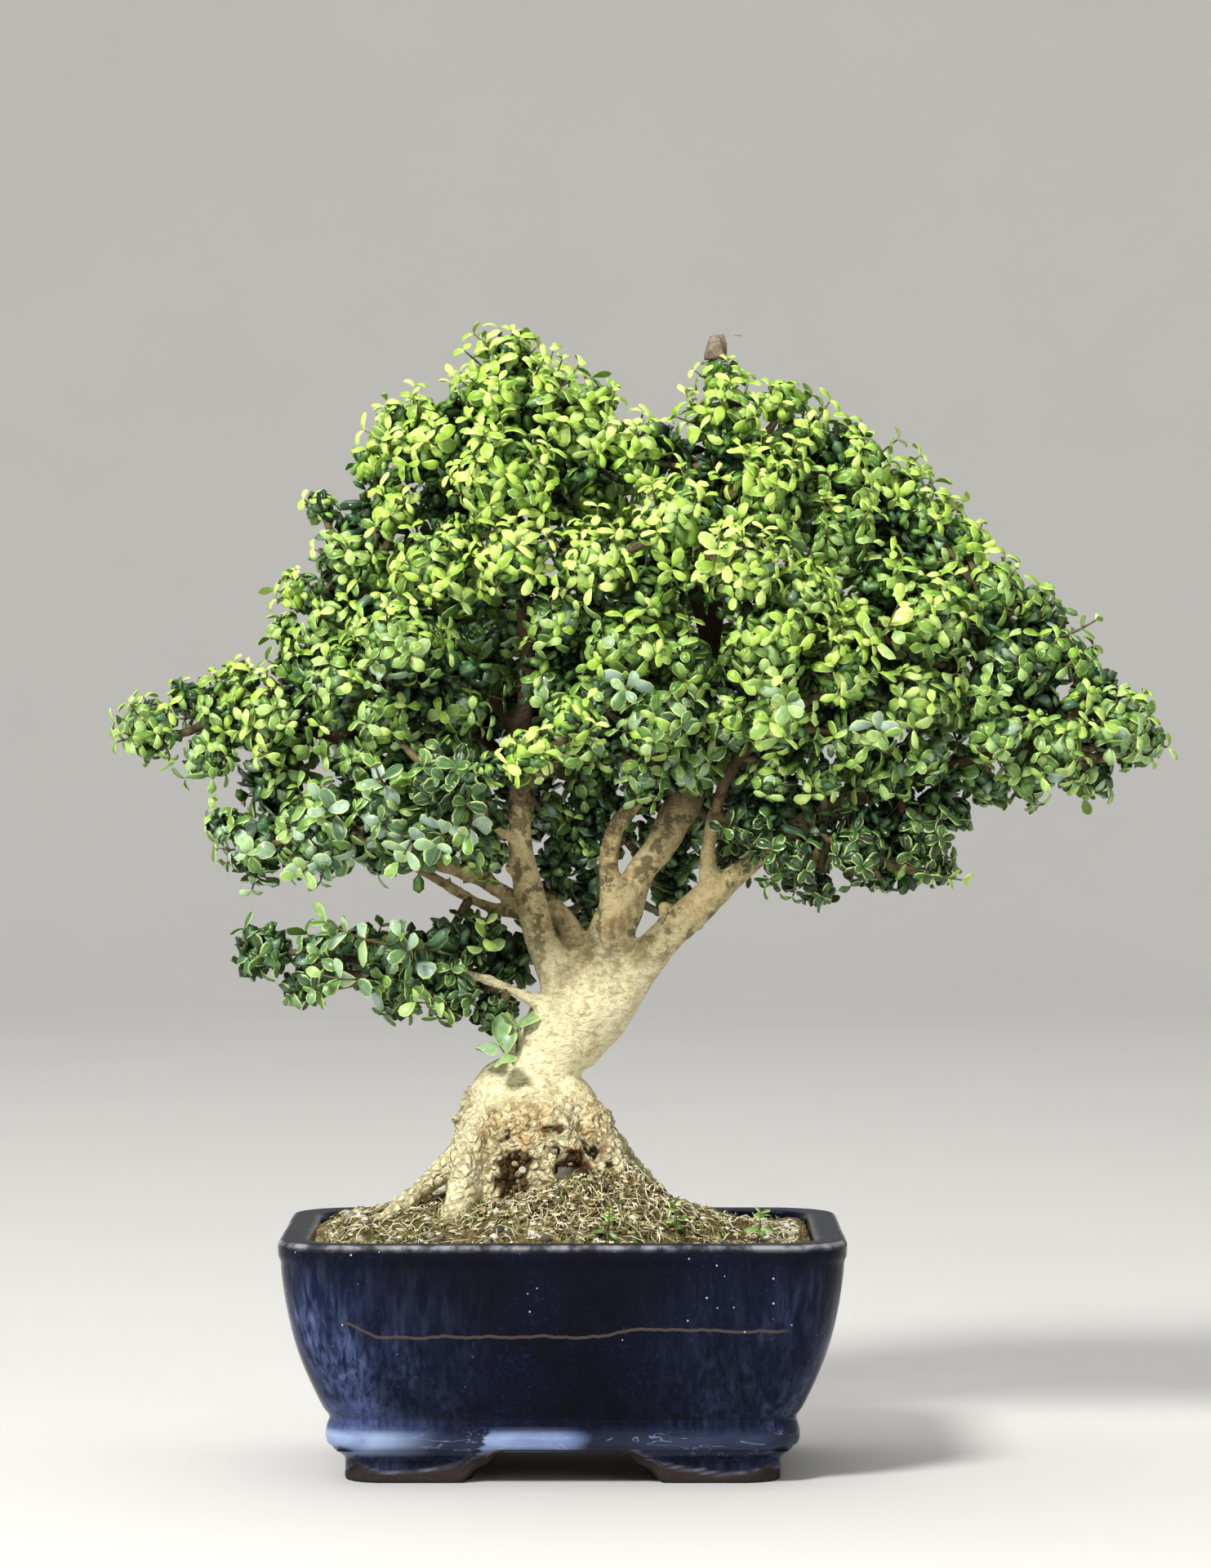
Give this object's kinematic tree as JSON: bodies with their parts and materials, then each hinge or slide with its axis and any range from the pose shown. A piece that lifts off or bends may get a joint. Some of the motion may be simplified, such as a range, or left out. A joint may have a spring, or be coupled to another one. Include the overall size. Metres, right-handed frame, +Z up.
{
  "type": "kingsville boxwood bonsai",
  "caption": "Small-leaved boxwood trained as an informal upright bonsai with a broad domed crown, standing in a blue glazed rectangular pot on bracket feet",
  "frame": {"origin": "middle of the underside of the whole object's box, on the surface that the pot's feet stand on", "axes": "+Z up, +X to the viewer's right along the pot's long side, -Y toward the viewer's side of the picture"},
  "size_m": [0.2972, 0.1531, 0.315],
  "materials": {
    "blue_glaze": "gloss",
    "plastic_screen": "matte",
    "potting_soil": "matte",
    "bark": "matte",
    "grey_stone": "matte",
    "dried_husk": "matte",
    "weed_leaf": "satin",
    "box_leaf": "satin"
  },
  "bodies": {
    "root": {"pot": "blue_glaze", "drain_mesh_left": "plastic_screen", "drain_mesh_right": "plastic_screen", "soil": "potting_soil", "trunk": "bark", "pebble": "grey_stone", "seed_husk": "dried_husk", "weed_front": "weed_leaf", "weed_middle": "weed_leaf", "weed_right": "weed_leaf", "foliage_trunk_sprout": "box_leaf", "foliage_apex_left": "box_leaf", "foliage_apex_right": "box_leaf", "foliage_crown_middle": "box_leaf", "foliage_left_shoulder": "box_leaf", "foliage_left_arm": "box_leaf", "foliage_left_middle": "box_leaf", "foliage_front_left": "box_leaf", "foliage_front_sprig": "box_leaf", "foliage_middle": "box_leaf", "foliage_right_middle": "box_leaf", "foliage_right_shoulder": "box_leaf", "foliage_right_arm": "box_leaf", "foliage_low_right": "box_leaf", "foliage_low_left": "box_leaf", "foliage_back_left": "box_leaf", "foliage_back_middle": "box_leaf", "foliage_back_right": "box_leaf"}
  },
  "joints": []
}
